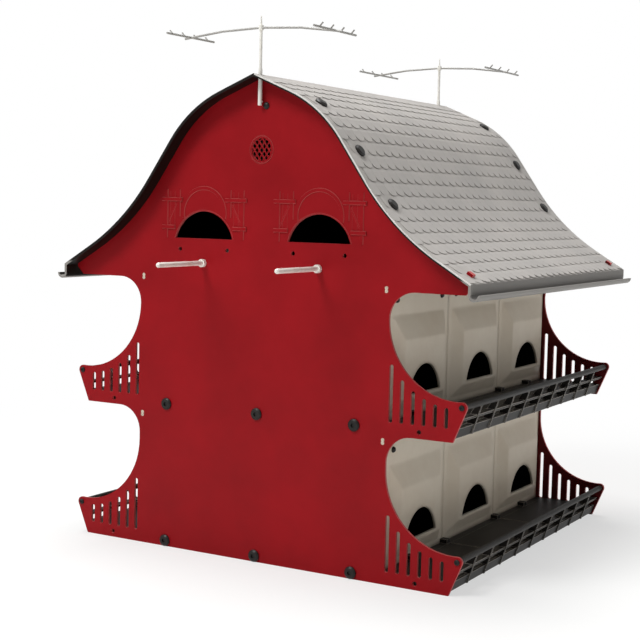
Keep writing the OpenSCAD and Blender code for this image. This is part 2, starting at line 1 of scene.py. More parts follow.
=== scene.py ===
# %% [markdown]
# # A martin house for a pole
# This lesson dresses a moulded plastic birdhouse for purple martins. The construction model gives
# every wall, floor, rail, perch and bolt at its real size. Here we add what is too fine for it:
# the roof shingles, the raised ornament on the end walls, the turn buttons on the room fronts,
# and a material for each kind of plastic.

# %% Load the frame
import json
import math

import bpy
import numpy as np
from mathutils import Matrix


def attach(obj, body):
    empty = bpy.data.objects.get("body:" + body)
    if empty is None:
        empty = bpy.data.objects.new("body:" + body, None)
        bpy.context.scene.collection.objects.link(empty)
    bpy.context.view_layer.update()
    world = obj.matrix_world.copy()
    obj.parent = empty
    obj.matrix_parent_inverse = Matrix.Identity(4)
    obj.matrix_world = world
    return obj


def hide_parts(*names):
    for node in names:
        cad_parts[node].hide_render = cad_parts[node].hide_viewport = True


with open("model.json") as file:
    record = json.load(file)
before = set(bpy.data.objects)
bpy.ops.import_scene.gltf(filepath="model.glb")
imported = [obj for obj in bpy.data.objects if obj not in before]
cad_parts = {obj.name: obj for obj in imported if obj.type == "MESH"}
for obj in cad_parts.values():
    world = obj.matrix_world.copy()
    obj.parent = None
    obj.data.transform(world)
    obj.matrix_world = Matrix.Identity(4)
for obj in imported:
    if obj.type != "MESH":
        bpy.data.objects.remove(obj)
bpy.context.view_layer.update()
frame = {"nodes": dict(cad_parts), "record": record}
MM = 0.001
print("nodes:", len(frame["nodes"]))

# %% [markdown]
# ## Camera
# A camera can be matched to a photograph by eye, but then no edge can be compared closely. This one
# was solved by fitting the straight edges of both end walls. Yaw, pitch and roll turn the view; the
# focal length is kept in pixels of a 640 pixel picture, because that is how it was measured, and
# turned into a lens on a 36 mm sensor.

# %% Camera from the fitted view
PICTURE = 640
FOCAL_PX = 1360.51
SENSOR = 36.0
EYE = (0.79398, -1.46956, 0.39596)
YAW, PITCH, ROLL = (math.radians(a) for a in (-29.9265, -4.8995, 1.2692))
FAR = 50.0


def camera_axes(yaw, pitch, roll):
    """Right, up and forward of a camera: forward from yaw and pitch, then rolled about itself."""
    flat = math.cos(pitch)
    forward = np.array([math.sin(yaw) * flat, math.cos(yaw) * flat, math.sin(pitch)])
    level = np.array([math.cos(yaw), -math.sin(yaw), 0.0])
    upright = np.cross(level, forward)
    right = math.cos(roll) * level + math.sin(roll) * upright
    up = -math.sin(roll) * level + math.cos(roll) * upright
    return right, up, forward


right, up, forward = camera_axes(YAW, PITCH, ROLL)
camera_data = bpy.data.cameras.new("view")
camera_data.sensor_width = SENSOR
camera_data.lens = FOCAL_PX * SENSOR / PICTURE
camera_data.clip_end = FAR
camera = bpy.data.objects.new("view", camera_data)
bpy.context.scene.collection.objects.link(camera)
turn = Matrix(np.stack([right, up, -forward], 1).tolist()).to_4x4()
camera.matrix_world = Matrix.Translation(EYE) @ turn
bpy.context.scene.camera = camera
print("lens mm:", round(camera_data.lens, 2))

# %% [markdown]
# ## Plastics
# Every piece is injection moulded, so colour goes right through and the surface carries the fine
# spark texture of its mould. What differs is the plastic: polypropylene for walls and roof,
# impact polystyrene for the pale rooms, black regrind for the porches, nylon for the perches.
# A picture could be wrapped round each piece, but noise in the piece's own coordinates needs no
# unwrapping and has its size in millimetres. One helper adds a shader node with its settings and
# links, and each material is a short recipe.

# %% Colours and shader nodes


def linear(code):
    """sRGB hex colour to linear RGBA: c / 12.92 below 0.04045, else ((c + 0.055) / 1.055) ** 2.4."""
    c = np.array([int(code[i:i + 2], 16) for i in (1, 3, 5)]) / 255
    c = np.where(c <= 0.04045, c / 12.92, ((c + 0.055) / 1.055) ** 2.4)
    return (*c, 1.0)


def add(material, kind, settings=(), links=()):
    """Add one shader node, set its attributes and input values, link its inputs, return its outputs."""
    node = material.node_tree.nodes.new(kind)
    for key, value in dict(settings).items():
        if isinstance(key, str) and hasattr(node, key):
            setattr(node, key, value)
        else:
            node.inputs[key].default_value = value
    for socket, source in dict(links).items():
        material.node_tree.links.new(source, node.inputs[socket])
    return node.outputs


def new_material(name):
    """An empty node material."""
    material = bpy.data.materials.new(name)
    material.use_nodes = True
    material.node_tree.nodes.clear()
    return material


print("middle grey in linear light:", round(float(linear("#808080")[0]), 3))

# %% [markdown]
# A real spark texture has grains of about a tenth of a millimetre, too fine to show in the picture,
# so it is drawn one to three millimetres coarse. The slow clouding is real size: plastic cools
# unevenly over some centimetres. The cream rooms, the nylon and the wire need nothing else.

# %% Recipe for a moulded plastic, and the plain finishes
PLASTIC_IOR = 1.49
CLOUD_STOPS = (0.32, 0.68)
GLOSS_SPREAD = (-0.07, 0.09)


def moulded(name, dark, light, rough, shine, spark_mm, cloud_mm, bump_mm, soft_mm=None, layers=()):
    """A moulded plastic: slow clouding between two colours, mould texture as bump and gloss change.

    Pattern sizes are in millimetres; a noise of scale s has cells of about 1 / s metres. Each of the
    layers is a colour and a function that gives the amount of it on the finish; soft_mm rounds edges.
    """
    material = new_material(name)
    place = add(material, "ShaderNodeTexCoord")["Object"]
    slow = {"Scale": 1 / (cloud_mm * MM), "Detail": 5.0, "Roughness": 0.62}
    cloud = add(material, "ShaderNodeTexNoise", slow, {"Vector": place})["Fac"]
    fine = {"Scale": 1 / (spark_mm * MM), "Detail": 3.0}
    relief = {"Height": add(material, "ShaderNodeTexNoise", fine, {"Vector": place})["Fac"]}
    colour = add(material, "ShaderNodeValToRGB", links={"Fac": cloud})["Color"]
    for stop, position, code in zip(colour.node.color_ramp.elements, CLOUD_STOPS, (dark, light)):
        stop.position, stop.color = position, linear(code)
    for code, amount in layers:
        laid = {"data_type": "RGBA", 7: linear(code)}
        colour = add(material, "ShaderNodeMix", laid, {0: amount(material), 6: colour})[2]
    spread = {"To Min": rough + GLOSS_SPREAD[0], "To Max": rough + GLOSS_SPREAD[1]}
    gloss = add(material, "ShaderNodeMapRange", spread, {"Value": cloud})["Result"]
    if soft_mm:
        rounding = {"samples": 6, "Radius": soft_mm * MM}
        relief["Normal"] = add(material, "ShaderNodeBevel", rounding)["Normal"]
    bump = add(material, "ShaderNodeBump", {"Strength": 0.5, "Distance": bump_mm * MM}, relief)["Normal"]
    shader = add(material, "ShaderNodeBsdfPrincipled", {"IOR": PLASTIC_IOR, "Specular IOR Level": shine},
                 {"Base Color": colour, "Roughness": gloss, "Normal": bump})
    add(material, "ShaderNodeOutputMaterial", links={"Surface": shader["BSDF"]})
    return material


# Impact polystyrene, moulded: a warm satin, with edges as round as the thin sheet leaves them.
cream_polystyrene = moulded("moulded_cream_polystyrene", "#E2D3BE", "#ECE0CD", rough=0.42, shine=0.3,
                            spark_mm=3.0, cloud_mm=60, bump_mm=0.06, soft_mm=7)
# Nylon, moulded in polished tools: bolts, plugs and buttons show a small highlight, perches a clear one.
black_nylon = moulded("moulded_black_nylon", "#0C0A09", "#1C1814", rough=0.4, shine=0.35,
                      spark_mm=1.6, cloud_mm=35, bump_mm=0.08)
ivory_nylon = moulded("moulded_ivory_nylon", "#F6F2E8", "#FCFAF4", rough=0.28, shine=0.5,
                      spark_mm=1.5, cloud_mm=20, bump_mm=0.03)
# Steel wire dipped in grey plastic: smooth and a little glossy.
coated_wire = moulded("grey_coated_wire", "#9C9A96", "#ADABA6", rough=0.35, shine=0.5,
                      spark_mm=1.2, cloud_mm=15, bump_mm=0.02)
print("plain finishes:", [m.name for m in (cream_polystyrene, black_nylon, ivory_nylon, coated_wire)])

# %% [markdown]
# ### Barn red
# The end walls are dyed polypropylene, moulded against a lightly sparked tool, which gives a soft
# satin. Faces that look neither front nor back get a painted highlight, and the inside of the walls
# gets painted shade. These places could be painted on an unwrapped picture; here they are found from
# the surface itself, by the way it faces and where it lies on the house, which follows any shape.

# %% Masks by facing and by place
MAXIMUM, MULTIPLY = {"operation": "MAXIMUM"}, {"operation": "MULTIPLY"}
MIDDLE = 0.001


def facing(material, axis, low, high):
    """How a surface faces along an axis: 0 where that part of its normal is low, 1 where it is high."""
    normal = add(material, "ShaderNodeNewGeometry")["True Normal"]
    part = add(material, "ShaderNodeSeparateXYZ", links={"Vector": normal})[axis]
    limits = {"From Min": low, "From Max": high}
    return add(material, "ShaderNodeMapRange", limits, {"Value": part})["Result"]


def lying(material, axis, low, high):
    """Where a point lies along an axis: 0 at the place low and 1 at the place high, in metres."""
    place = add(material, "ShaderNodeTexCoord")["Object"]
    part = add(material, "ShaderNodeSeparateXYZ", links={"Vector": place})[axis]
    limits = {"From Min": low, "From Max": high}
    return add(material, "ShaderNodeMapRange", limits, {"Value": part})["Result"]


def inward(material, axis):
    """Faces that look back to the middle plane of an axis, from either side of it."""
    far = {0: lying(material, axis, -MIDDLE, MIDDLE), 1: facing(material, axis, -0.6, -0.8)}
    near = {0: lying(material, axis, MIDDLE, -MIDDLE), 1: facing(material, axis, 0.6, 0.8)}
    sides = {0: add(material, "ShaderNodeMath", MULTIPLY, far)["Value"],
             1: add(material, "ShaderNodeMath", MULTIPLY, near)["Value"]}
    return add(material, "ShaderNodeMath", MAXIMUM, sides)["Value"]


print("masks:", [f.__name__ for f in (facing, lying, inward)])

# %% Red polypropylene
ROOMS_WITHIN = (0.156, 0.155)
HIGHLIGHT_SHARE, BRACKET_SHARE = 0.5, 0.7


def painted_side_highlight(material):
    """Painted highlight: faces that look neither to the front nor to the back, at part of their strength.
    """
    ends = {0: facing(material, "Y", -0.55, -0.9), 1: facing(material, "Y", 0.55, 0.9)}
    flat = add(material, "ShaderNodeMath", MAXIMUM, ends)["Value"]
    pale = {"To Min": HIGHLIGHT_SHARE, "To Max": 0.0}
    return add(material, "ShaderNodeMapRange", pale, {"Value": flat})["Result"]


def painted_inner_shade(material):
    """Painted shade on the inside of the end walls: black between the room fronts, and mostly so on the
    porch brackets.

    The square of x is compared with the squares of the rooms' half width, so both sides count alike.
    """
    place = add(material, "ShaderNodeTexCoord")["Object"]
    x = add(material, "ShaderNodeSeparateXYZ", links={"Vector": place})["X"]
    square = add(material, "ShaderNodeMath", MULTIPLY, {0: x, 1: x})["Value"]
    rooms = {"From Min": ROOMS_WITHIN[0] ** 2, "From Max": ROOMS_WITHIN[1] ** 2, "To Min": BRACKET_SHARE}
    depth = add(material, "ShaderNodeMapRange", rooms, {"Value": square})["Result"]
    return add(material, "ShaderNodeMath", MULTIPLY, {0: depth, 1: inward(material, "Y")})["Value"]


# Layers: a paler red as painted highlight on side faces, and black as painted shade inside the walls.
red_polypropylene = moulded("moulded_red_polypropylene", "#8E0711", "#9E0B16", rough=0.5, shine=0.16,
                            spark_mm=2.2, cloud_mm=80, bump_mm=0.10,
                            layers=[("#D87A76", painted_side_highlight), ("#0F0D0C", painted_inner_shade)])
print(red_polypropylene.name, len(red_polypropylene.node_tree.nodes))

# %% [markdown]
# ### Roof grey
# The roof is grey polypropylene. Its underside, the inside of the eaves and the rims lie in deep shade,
# and the black there is painted shade: one mask lays the black on the grey. Painted shade also darkens
# the fascia and the gutter.

# %% Grey polypropylene with painted shade
# Black painted shade for the roof's underside, rims and inner faces.
SHADE_BLACK = "#15120F"
UNDER_SHADE_ABOVE, RIM_ABOVE = (0.312, 0.314), (0.322, 0.324)
FASCIA_BELOW, GUTTER_BELOW = (0.334, 0.328), (0.322, 0.318)
EAVE_SHADE_SHARE = 0.5


def painted_roof_shade(material):
    """Painted black shade on the roof: faces that look down or out at a rim above the gutter, or inwards.
    """
    down = {0: facing(material, "Z", -0.02, -0.2), 1: lying(material, "Z", *UNDER_SHADE_ABOVE)}
    below = add(material, "ShaderNodeMath", MULTIPLY, down)["Value"]
    ends = {0: facing(material, "Y", -0.7, -0.9), 1: facing(material, "Y", 0.7, 0.9)}
    out = {0: add(material, "ShaderNodeMath", MAXIMUM, ends)["Value"], 1: lying(material, "Z", *RIM_ABOVE)}
    rim = add(material, "ShaderNodeMath", MULTIPLY, out)["Value"]
    inner = add(material, "ShaderNodeMath", MAXIMUM, {0: rim, 1: inward(material, "X")})["Value"]
    return add(material, "ShaderNodeMath", MAXIMUM, {0: below, 1: inner})["Value"]


def painted_eave_shade(material):
    """Painted shade on the fascia and gutter: sides below the eave, and all of the gutter."""
    sides = {0: lying(material, "Z", *FASCIA_BELOW), 1: facing(material, "Z", 0.8, 0.6)}
    fascia = add(material, "ShaderNodeMath", MULTIPLY, sides)["Value"]
    shade_parts = {0: fascia, 1: lying(material, "Z", *GUTTER_BELOW)}
    eave_shade = add(material, "ShaderNodeMath", MAXIMUM, shade_parts)["Value"]
    return add(material, "ShaderNodeMapRange", {"To Max": EAVE_SHADE_SHARE}, {"Value": eave_shade})["Result"]


GREY = {"dark": "#A5A19D", "light": "#B2ADA8", "rough": 0.46,
        "spark_mm": 2.0, "cloud_mm": 70, "bump_mm": 0.10}
grey_polypropylene = moulded("moulded_grey_polypropylene", shine=0.5, **GREY)
# Layers: painted shade darkens the fascia and gutter, and black painted shade covers the underside, eave
# insides and rims.
grey_shaded = moulded("grey_polypropylene_painted_shade", shine=0.2, **GREY,
                      layers=[("#6E6C68", painted_eave_shade), (SHADE_BLACK, painted_roof_shade)])
print(grey_shaded.name, len(grey_shaded.node_tree.nodes))

# %% [markdown]
# ### Porch black
# Trays and rails are moulded from reclaimed black granulate, which has a faint brown cast. Their edges
# are paler, partly from wear and partly as a painted highlight. This could be painted by hand; here it
# lies where the rounded normal turns away from the true one, which happens only at an edge. Inside the
# rooms a matt black stands for the painted shade there.

# %% Black regrind
EDGE_REACH_MM, EDGE_PALE_SHARE = 1.2, 0.85
EDGE_COSINE = (0.995, 0.93)


def worn_and_highlit_edges(material):
    """The outer millimetre of every edge, paler from wear and painted highlight: cosine of rounded and
    true normal, 1 on flat ground.
    """
    rounded = add(material, "ShaderNodeBevel", {"samples": 4, "Radius": EDGE_REACH_MM * MM})["Normal"]
    true = add(material, "ShaderNodeNewGeometry")["True Normal"]
    angle = {0: rounded, 1: true}
    cosine = add(material, "ShaderNodeVectorMath", {"operation": "DOT_PRODUCT"}, angle)["Value"]
    pale_edge = {"From Min": EDGE_COSINE[0], "From Max": EDGE_COSINE[1], "To Max": EDGE_PALE_SHARE}
    return add(material, "ShaderNodeMapRange", pale_edge, {"Value": cosine})["Result"]


# The pale edge layer is partly wear and partly a painted highlight.
black_regrind = moulded("moulded_black_regrind", "#0C0A09", "#1C1814", rough=0.48, shine=0.25,
                        spark_mm=1.6, cloud_mm=35, bump_mm=0.12, layers=[("#B5AEA5", worn_and_highlit_edges)])
# Painted shade: a matt black for the sheets inside the rooms and the attic, which lie in shade.
shade_black_interior = moulded("matt_black_interior_painted_shade", "#0B0A09", "#14110F", rough=0.85, shine=0.1,
                       spark_mm=1.6, cloud_mm=35, bump_mm=0.05)
print(black_regrind.name, len(black_regrind.node_tree.nodes))

# %% [markdown]
# ### Finishes on the construction
# Each node of the construction names a material slot, and each slot has one finish. A few nodes have
# their own: the roof with its painted shade, the nylon bolts and plugs, and the sheets inside, matt
# black as painted shade.

# %% A finish for every node
SLOT_FINISH = {"red_plastic": red_polypropylene, "grey_plastic": grey_polypropylene,
               "white_plastic": cream_polystyrene, "black_plastic": black_regrind,
               "ivory_plastic": ivory_nylon, "wire": coated_wire}
SPECIAL = {grey_shaded: ("left_roof", "right_roof"),
           black_nylon: ("left_roof_plugs", "right_roof_plugs", "front_wall_bolts", "rear_wall_bolts"),
           shade_black_interior: ("lower_room_backs", "upper_room_backs", "lower_room_dividers",
                          "upper_room_dividers", "attic_partition", "attic_floor")}
for entry in frame["record"]["subparts"]:
    piece = frame["nodes"][entry["node"]]
    piece.data.materials.clear()
    piece.data.materials.append(SLOT_FINISH[entry["material_slot"]])
for finish, names in SPECIAL.items():
    for name in names:
        frame["nodes"][name].data.materials[0] = finish

# %% [markdown]
# ## Roof surface
# The roof section is a straight at the ridge, a rounded shoulder, a steep straight, a hollow sweep
# and a straight to the eave. The shingles have to follow it. They could be pressed onto the roof's
# mesh, but walking along the section by arc length gives each one its place and tilt directly.

# %% Roof section by arc length
RIDGE_Z, RIDGE_RUN, RIDGE_SLOPE = 532.0, 48.7, math.radians(22.5)
CROWN_R, STEEP_RUN, STEEP_SLOPE = 143.0, 52.9, math.radians(55.3)
SWEEP_R, EAVE_RUN, EAVE_SLOPE = 267.0, 80.0, math.radians(31.0)
ROOF_HALF_W, LONGEST = 257.7, 420.0
HOUSE_HALF = 225.0


def roof_section(s):
    """Half width x, height z and slope angle at arc length s (mm) from the ridge.

    The slope is a1 on the ridge straight, grows as s / R on the shoulder, stays a2 on the steep
    straight, falls as s / R on the sweep and stays a3 past the eave; x and z are sums of its
    cosine and sine over fine steps.
    """
    crown = CROWN_R * (STEEP_SLOPE - RIDGE_SLOPE)
    sweep = SWEEP_R * (STEEP_SLOPE - EAVE_SLOPE)
    knots = np.cumsum([0, RIDGE_RUN, crown, STEEP_RUN, sweep, EAVE_RUN])
    slopes = [RIDGE_SLOPE, RIDGE_SLOPE, STEEP_SLOPE, STEEP_SLOPE, EAVE_SLOPE, EAVE_SLOPE]
    fine = np.linspace(0, knots[-1], 8001)
    angle = np.interp(fine, knots, slopes)
    step = fine[1]
    middle = (angle[1:] + angle[:-1]) / 2
    x = np.concatenate([[0], np.cumsum(np.cos(middle) * step)])
    z = RIDGE_Z - np.concatenate([[0], np.cumsum(np.sin(middle) * step)])
    return np.interp(s, fine, x), np.interp(s, fine, z), np.interp(s, fine, angle)


def arc_length_at(x):
    """Arc length from the ridge where the roof reaches half width x."""
    s = np.linspace(0, LONGEST, 4201)
    return float(np.interp(x, roof_section(s)[0], s))


EAVE_S = arc_length_at(ROOF_HALF_W)
print("slope length mm:", round(EAVE_S, 1))

# %% [markdown]
# ## Shingles
# The roof is one moulding with rows of round-ended shingles standing up about a millimetre. They could
# be a height map, but then the crisp lower edges need a very fine grid. Here each shingle is a small
# closed tile, all computed at once: columns follow a half circle at the lower end, and the tile
# rises from under the roof at its upper end to its full thickness at the lower edge.

# %% Mesh helpers


def make_piece(name, points, quads, finish, slot, smooth=False):
    """A mesh piece from an array of points in millimetres and an array of quads."""
    mesh = bpy.data.meshes.new(name)
    mesh.from_pydata((points * MM).tolist(), [], quads.tolist())
    mesh.materials.append(finish)
    mesh.polygons.foreach_set("use_smooth", np.full(len(mesh.polygons), smooth))
    mesh.update()
    piece = bpy.data.objects.new(name, mesh)
    bpy.context.scene.collection.objects.link(piece)
    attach(piece, "root")
    print(name, "quads:", len(quads))
    return piece


def ring_quads(rows, columns, closed=False):
    """Quads of a grid whose rows close on themselves; its columns close too, or the 4 rows end in caps."""
    i, j = np.meshgrid(np.arange(rows), np.arange(columns if closed else columns - 1), indexing="ij")
    nxt, on = (i + 1) % rows, (j + 1) % columns
    wall = np.stack([i * columns + j, i * columns + on, nxt * columns + on, nxt * columns + j], -1)
    if closed:
        return wall.reshape(-1, 4)
    first = np.arange(rows)[None, :] * columns
    last = first[:, ::-1] + columns - 1
    return np.concatenate([wall.reshape(-1, 4), first, last])


def repeated(quads, points_each, count):
    """The same quads for each of a number of copies, whose points follow one another."""
    return (quads[None] + points_each * np.arange(count)[:, None, None]).reshape(-1, 4)


print("quads of one tile:", len(ring_quads(4, 7)))

# %% Places of the shingles
ROW_PITCH, SHINGLE_W = 17.4, 18.0
SHINGLE_ROUND, EAVE_CLEAR = 6.5, 0.5
ROOF_HALF_LEN = HOUSE_HALF + 18.0
PLUG_X, TAB_X, FIXING_Y = (68.2, 115.8, 155.8), 245.0, 216.5
FIXINGS = [(arc_length_at(x), y) for x in (*PLUG_X, TAB_X) for y in (-FIXING_Y, FIXING_Y)]
FIXING_CLEAR, FIXING_FADE = 9.0, 9.0
RIM_CLEAR, RIM_FADE = 2.0, 3.0


def shingle_centres():
    """Lower edge s and middle y of every shingle: rows count up from the eave, odd rows shift by half."""
    places = []
    count = int(2 * ROOF_HALF_LEN / SHINGLE_W)
    for row in range(int((EAVE_S - SHINGLE_ROUND) / ROW_PITCH)):
        number = count - row % 2
        y = (np.arange(number) - (number - 1) / 2) * SHINGLE_W
        places.append(np.stack([np.full(number, EAVE_S - EAVE_CLEAR - row * ROW_PITCH), y], 1))
    return np.concatenate(places)


def clear_of_edges(s, y):
    """0 near a plug, a tab or a rim, where the moulding is flat, rising to 1 over the fade distance."""
    gap = np.min([np.hypot(s - fixing[0], y - fixing[1]) for fixing in FIXINGS], axis=0)
    margin = ROOF_HALF_LEN - np.abs(y)
    off_fixing = np.clip((gap - FIXING_CLEAR) / FIXING_FADE, 0, 1)
    return off_fixing * np.clip((margin - RIM_CLEAR) / RIM_FADE, 0, 1)


print("shingles on a side:", len(shingle_centres()))

# %% Shingle tiles
SHINGLE_GAP, SHINGLE_LAP = 0.1, 7.8
SHINGLE_THICK, MID_SHARE, EAVE_ROW_SHARE = 0.8, 0.62, 1.7
SHINGLE_SUNK, SHINGLE_DEEP = 0.4, 0.8
RIDGE_CLEAR = 0.5
COLUMNS = 7


def shingle_mesh(side):
    """All shingles of one roof half: tile points (s, y, height) carried onto the roof section.

    Across a tile u runs from -1 to 1, and its lower edge bows by R (sqrt(1 - u * u) - 1). Along it are
    four rows: the upper end, the middle and the lower edge on top, and the lower edge beneath.
    """
    centres = shingle_centres()
    u = -np.cos(np.linspace(0, np.pi, COLUMNS))
    lower = SHINGLE_ROUND * (np.sqrt(np.clip(1 - u ** 2, 0, 1)) - 1)
    upper = np.full(COLUMNS, -ROW_PITCH - SHINGLE_LAP)
    s = centres[:, 0, None, None] + np.stack([upper, (upper + lower) / 2, lower, lower])
    y = centres[:, 1, None, None] + np.broadcast_to(u * (SHINGLE_W - SHINGLE_GAP) / 2, (4, COLUMNS))
    top = np.array([0.0, MID_SHARE, 1.0, 0.0])[:, None] * SHINGLE_THICK
    top = np.where(centres[:, 0, None, None] > EAVE_S - 2 * EAVE_CLEAR, EAVE_ROW_SHARE, 1.0) * top
    under = np.array([True, False, False, True])[:, None]
    share = clear_of_edges(s, y)
    height = np.where(under, -SHINGLE_DEEP, top * share - SHINGLE_SUNK * (1 - share))
    x, z, angle = roof_section(np.clip(s, RIDGE_CLEAR, None))
    points = np.stack([side * (x + height * np.sin(angle)), y, z + height * np.cos(angle)], -1)
    faces = repeated(ring_quads(4, COLUMNS), 4 * COLUMNS, len(centres))
    return points.reshape(-1, 3), faces[:, ::-1] if side > 0 else faces


for side, name in ((1, "right_shingles"), (-1, "left_shingles")):
    make_piece(name, *shingle_mesh(side), grey_polypropylene, "grey_plastic")

# %% [markdown]
# ## Painted rim highlight
# Along the rims of the right half a painted highlight shows as a thin pale line over the painted
# black shade. A mask in the material could draw it, but it would blur at this width. So it is a
# strip about a millimetre deep, its square section carried down the roof from ridge to eave.

# %% Painted highlight along the right rims
STRIP_DEEP, STRIP_PROUD, STRIP_IN = 1.3, 0.25, 1.0
STRIP_FROM, STRIP_STEPS = 1.0, 90
# Painted highlight: pale polypropylene where light catches the rims of the right half.
rim_highlight = moulded("painted_rim_highlight", "#DAD8D3", "#E8E6E2", rough=0.5, shine=0.3,
                    spark_mm=2.0, cloud_mm=40, bump_mm=0.03)


def rim_highlight_strip(end):
    """Four lines down the roof, at two depths under its surface and two places about the rim."""
    x, z, angle = roof_section(np.linspace(STRIP_FROM, EAVE_S, STRIP_STEPS))
    depth = np.array([0.0, 0.0, STRIP_DEEP, STRIP_DEEP])[:, None]
    y = end * (ROOF_HALF_LEN + np.array([STRIP_PROUD, -STRIP_IN, -STRIP_IN, STRIP_PROUD]))[:, None]
    y = np.broadcast_to(y, (4, STRIP_STEPS))
    points = np.stack([x - depth * np.sin(angle), y, z - depth * np.cos(angle)], -1)
    quads = ring_quads(4, STRIP_STEPS)
    return points.reshape(-1, 3), quads[:, ::-1] if end > 0 else quads


for end, name in ((-1, "front_right_rim_highlight"), (1, "rear_right_rim_highlight")):
    make_piece(name, *rim_highlight_strip(end), rim_highlight, "grey_plastic")

# %% [markdown]
# ## Ornament on the end walls
# Round each attic entrance the mould has a shallow relief: an arched window frame and a pair of barn
# shutters with stiles, boards, hinge straps and a brace. The entrance itself has a thin raised lip.
# Bump in the material would be flat from the side, so each line is a low ridge with chamfered sides,
# its section carried along a path on the wall.

# %% A ridge along a path
RELIEF_SUNK, RELIEF_CHAMFER, CHAMFER_SHARE = 0.3, 0.6, 0.3


def ridge_along(path, width, height, closed=False):
    """A ridge along a path of (x, z) points: a section with chamfered sides square to the path."""
    tangent = np.roll(path, -1, 0) - np.roll(path, 1, 0) if closed else np.gradient(path, axis=0)
    tangent /= np.linalg.norm(tangent, axis=1, keepdims=True)
    across = np.stack([-tangent[:, 1], tangent[:, 0]], 1)
    chamfer = min(RELIEF_CHAMFER, CHAMFER_SHARE * width)
    offset = np.array([-width / 2, chamfer - width / 2, width / 2 - chamfer, width / 2])
    lift = np.array([-RELIEF_SUNK, height, height, -RELIEF_SUNK])[:, None, None]
    points = path[None] + across[None] * offset[:, None, None]
    points = np.concatenate([points, np.broadcast_to(lift, (4, len(path), 1))], -1)
    return points.reshape(-1, 3), ring_quads(4, len(path), closed)


print("section of a ridge: 4 points, sunk mm:", RELIEF_SUNK)

# %% Lines of one window
ATTIC_IN_X, ATTIC_SILL_Z = 73.9, 354.1
ENTRANCE_W, ENTRANCE_H = 76.2, 30.2
ENTRANCE_R = ((ENTRANCE_W / 2) ** 2 + ENTRANCE_H ** 2) / (2 * ENTRANCE_H)
ARCH_R, ARCH_Z, ARCH_W, ARCH_H = 28.0, 382.0, 4.6, 0.8
LIP_MID, LIP_STOP, LIP_W, LIP_H = 1.0, 1.5, 1.6, 0.5
# Straight lines of a shutter: both ends as x from the entrance's middle and z above its sill, then
# width and height. They are two stiles, two joints between boards, two hinge straps and a brace.
SHUTTER = ((34.0, 24.0, 34.0, 54.0, 5.0, 0.8), (51.0, 0.0, 51.0, 54.0, 5.0, 0.8),
           (39.5, 14.0, 39.5, 52.0, 1.0, 0.25), (45.5, 14.0, 45.5, 52.0, 1.0, 0.25),
           (38.5, 12.0, 56.5, 12.0, 4.6, 1.6), (29.0, 43.0, 56.5, 43.0, 4.6, 1.6),
           (37.5, 38.0, 48.5, 17.0, 2.4, 0.4))


def arch_foot():
    """Angle at which the arch's inner edge meets the entrance lip, by the law of cosines.

    With e the inner radius, g the distance between the two centres and q the lip's radius, a point of
    the inner edge at angle t lies on the lip where e * e + g * g + 2 * e * g * sin(t) = q * q.
    """
    inner = ARCH_R - ARCH_W / 2
    apart = ARCH_Z - ATTIC_SILL_Z - ENTRANCE_H + ENTRANCE_R
    return math.asin(((ENTRANCE_R + LIP_STOP) ** 2 - inner ** 2 - apart ** 2) / (2 * inner * apart))


def window_relief():
    """Paths with width and height of one arched window and its shutters, about the entrance middle."""
    bend = np.linspace(arch_foot(), math.pi - arch_foot(), 49)
    arch = np.stack([ARCH_R * np.cos(bend), ARCH_Z - ATTIC_SILL_Z + ARCH_R * np.sin(bend)], 1)
    reach = math.asin(ENTRANCE_W / 2 / ENTRANCE_R)
    swing = np.linspace(-reach, reach, 41)
    lip_r = ENTRANCE_R + LIP_MID
    lip = np.stack([lip_r * np.sin(swing), ENTRANCE_H - ENTRANCE_R + lip_r * np.cos(swing)], 1)
    lines = [(arch, ARCH_W, ARCH_H), (lip, LIP_W, LIP_H)]
    for mirror in (-1, 1):
        for x0, z0, x1, z1, width, height in SHUTTER:
            lines.append((np.linspace((mirror * x0, z0), (mirror * x1, z1), 3), width, height))
    return lines


print("lines of a window:", len(window_relief()))

# %% Relief on both end walls
VENT_Z, RIM_R, RIM_W, RIM_H = 452.2, 14.8, 1.6, 0.6


def wall_relief(end):
    """Both windows and the vent rim of one end wall; end is -1 for the front and 1 for the rear."""
    turn_round = np.linspace(0, 2 * np.pi, 60, endpoint=False)
    rim = np.stack([RIM_R * np.cos(turn_round), VENT_Z + RIM_R * np.sin(turn_round)], 1)
    ridges = [ridge_along(line + [hand * ATTIC_IN_X, ATTIC_SILL_Z], width, height)
              for hand in (-1, 1) for line, width, height in window_relief()]
    ridges.append(ridge_along(rim, RIM_W, RIM_H, closed=True))
    starts = np.cumsum([0] + [len(points) for points, _ in ridges[:-1]])
    points = np.concatenate([points for points, _ in ridges])
    quads = np.concatenate([quads + start for (_, quads), start in zip(ridges, starts)])
    placed = np.stack([points[:, 0], end * (HOUSE_HALF + points[:, 2]), points[:, 1]], 1)
    return placed, quads if end < 0 else quads[:, ::-1]


for end, name in ((-1, "front_window_relief"), (1, "rear_window_relief")):
    make_piece(name, *wall_relief(end), red_polypropylene, "red_plastic")

# %% [markdown]
# ## Vent grilles
# High in each end wall a round vent lets warm air out through a slanting lattice. The construction has
# it as a pierced disc; the real one has two layers of thin bars that cross, the front layer the
# stronger. A grid could be cut from a disc, but bars give the depth between the layers. Each is a
# chord of the circle with a square section, and a turned ring holds them.

# %% Two layers of bars
VENT_R, RING_W, WALL_T = 14.0, 1.6, 3.0
BAR_STEP, BAR_RISE, BARS = 6.15, 4.42, 6
# Slant, width, front and back of each layer.
LAYERS = ((1, 1.4, 0.1, 1.5), (-1, 1.1, 1.4, 2.6))


